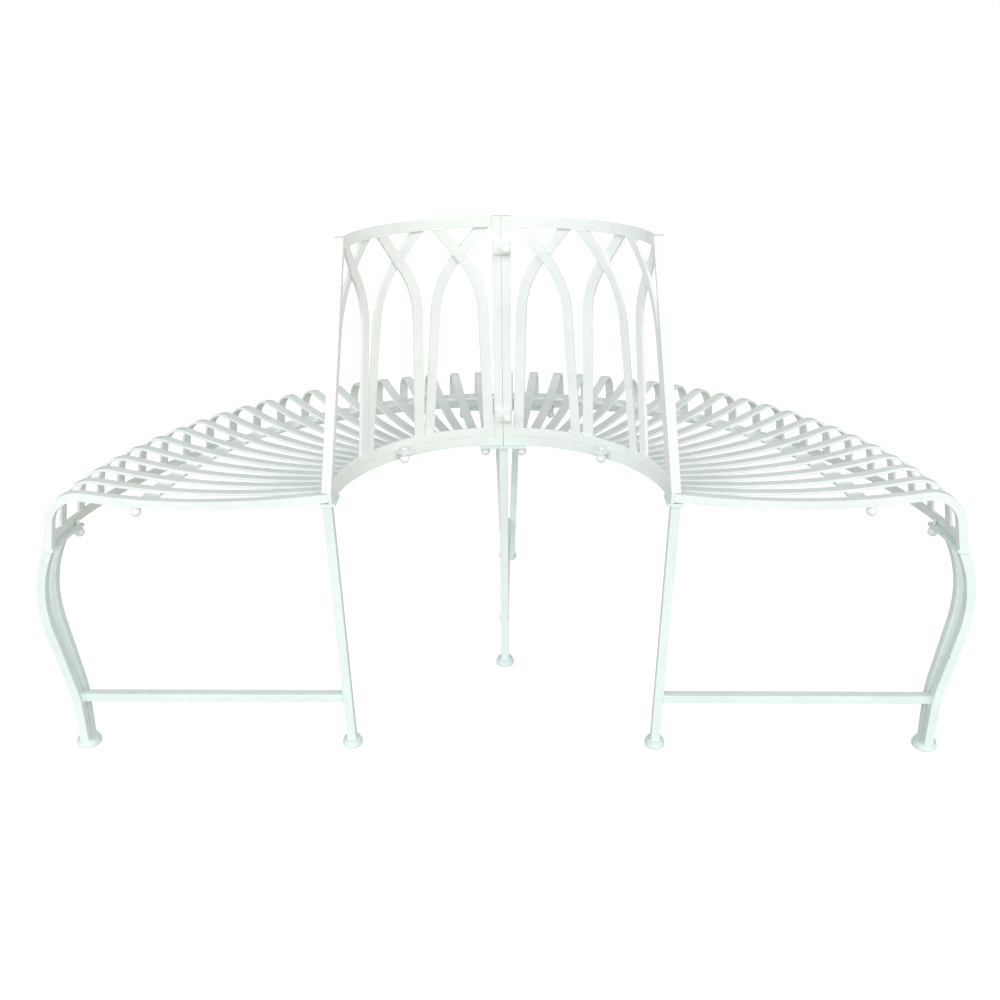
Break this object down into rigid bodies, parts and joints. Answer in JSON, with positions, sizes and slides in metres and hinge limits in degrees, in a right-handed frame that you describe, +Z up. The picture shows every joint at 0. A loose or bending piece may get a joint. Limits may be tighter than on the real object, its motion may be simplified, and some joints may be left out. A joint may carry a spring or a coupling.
{
  "type": "half-round tree bench",
  "caption": "Half-round slatted steel tree bench with curved arched back panels, S-shaped outer legs and round feet, in worn off-white paint.",
  "frame": {"origin": "on the floor under the centre of the bench's bounding box", "axes": "+X along the bench's width to the right seen from the tree side, +Y from the open tree side to the rounded outer side, +Z up"},
  "size_m": [1.5004, 0.7624, 0.853],
  "materials": {
    "paint_seat": "satin",
    "paint_back": "satin",
    "paint_legs": "satin",
    "paint_fasteners": "satin"
  },
  "bodies": {
    "root": {"back_joint_plates": "paint_back", "ball_nuts": "paint_fasteners", "bolts": "paint_fasteners", "left_back_arch_1": "paint_back", "left_back_arch_2": "paint_back", "left_back_arch_3": "paint_back", "left_back_bolt_lug": "paint_seat", "left_back_bottom_rail": "paint_back", "left_back_end_post": "paint_back", "left_back_joint_post": "paint_back", "left_back_top_rail": "paint_back", "left_inner_foot": "paint_legs", "left_inner_leg": "paint_legs", "left_inner_top_plate": "paint_legs", "left_outer_foot": "paint_legs", "left_outer_leg_front_bar": "paint_legs", "left_outer_leg_rear_bar": "paint_legs", "left_outer_top_plate": "paint_legs", "left_seat_bolt_lugs": "paint_seat", "left_seat_end_rail": "paint_seat", "left_seat_inner_rail": "paint_seat", "left_seat_joint_rail": "paint_seat", "left_seat_mid_rail": "paint_seat", "left_seat_outer_rail": "paint_seat", "left_seat_slats": "paint_seat", "left_stretcher": "paint_legs", "middle_inner_foot": "paint_legs", "middle_inner_leg": "paint_legs", "middle_inner_top_plate": "paint_legs", "middle_outer_foot": "paint_legs", "middle_outer_leg_front_bar": "paint_legs", "middle_outer_leg_rear_bar": "paint_legs", "middle_outer_top_plate": "paint_legs", "middle_stretcher": "paint_legs", "right_back_arch_1": "paint_back", "right_back_arch_2": "paint_back", "right_back_arch_3": "paint_back", "right_back_bolt_lug": "paint_seat", "right_back_bottom_rail": "paint_back", "right_back_end_post": "paint_back", "right_back_joint_post": "paint_back", "right_back_top_rail": "paint_back", "right_inner_foot": "paint_legs", "right_inner_leg": "paint_legs", "right_inner_top_plate": "paint_legs", "right_outer_foot": "paint_legs", "right_outer_leg_front_bar": "paint_legs", "right_outer_leg_rear_bar": "paint_legs", "right_outer_top_plate": "paint_legs", "right_seat_bolt_lugs": "paint_seat", "right_seat_end_rail": "paint_seat", "right_seat_inner_rail": "paint_seat", "right_seat_joint_rail": "paint_seat", "right_seat_mid_rail": "paint_seat", "right_seat_outer_rail": "paint_seat", "right_seat_slats": "paint_seat", "right_stretcher": "paint_legs", "seat_joint_strap": "paint_seat", "studs": "paint_fasteners", "washers": "paint_fasteners"}
  },
  "joints": []
}
